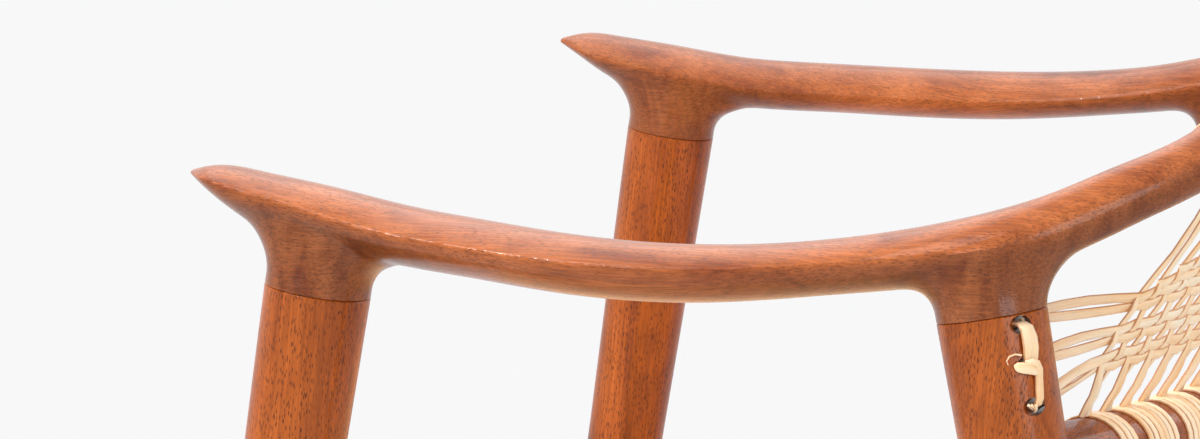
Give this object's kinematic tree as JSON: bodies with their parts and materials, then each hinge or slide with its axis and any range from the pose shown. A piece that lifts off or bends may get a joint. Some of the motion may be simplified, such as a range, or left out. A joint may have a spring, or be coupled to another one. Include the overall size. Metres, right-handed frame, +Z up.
{
  "type": "armchair",
  "caption": "Open armchair with round raked wooden legs, sculpted wooden arms running into a curved crest rail, a laced cane back and a woven cane seat.",
  "frame": {"origin": "on the floor, under the middle of the chair's overall box", "axes": "+Z up, the chair faces -Y, +X to the sitter's left"},
  "size_m": [0.6844, 0.5304, 0.74],
  "materials": {
    "teak": "oiled satin",
    "dowel_wood": "bare, hidden in the joints",
    "cane": "natural split cane, satin"
  },
  "bodies": {
    "root": {"front_left_leg": "teak", "front_right_leg": "teak", "rear_left_leg": "teak", "rear_right_leg": "teak", "seat_front_rail": "teak", "seat_back_rail": "teak", "seat_left_rail": "teak", "seat_right_rail": "teak", "back_lower_rail": "teak", "left_arm": "teak", "right_arm": "teak", "crest_rail": "teak", "front_neck_dowels": "dowel_wood", "rear_neck_dowels": "dowel_wood", "rear_dowel_pegs": "dowel_wood", "back_rail_wraps": "cane", "back_cane_warps": "cane", "back_cane_wefts": "cane", "crest_wraps": "cane", "seat_front_wrap": "cane", "seat_back_wrap": "cane", "seat_left_wrap": "cane", "seat_right_wrap": "cane", "seat_cane": "cane", "left_lacing": "cane", "right_lacing": "cane"}
  },
  "joints": []
}
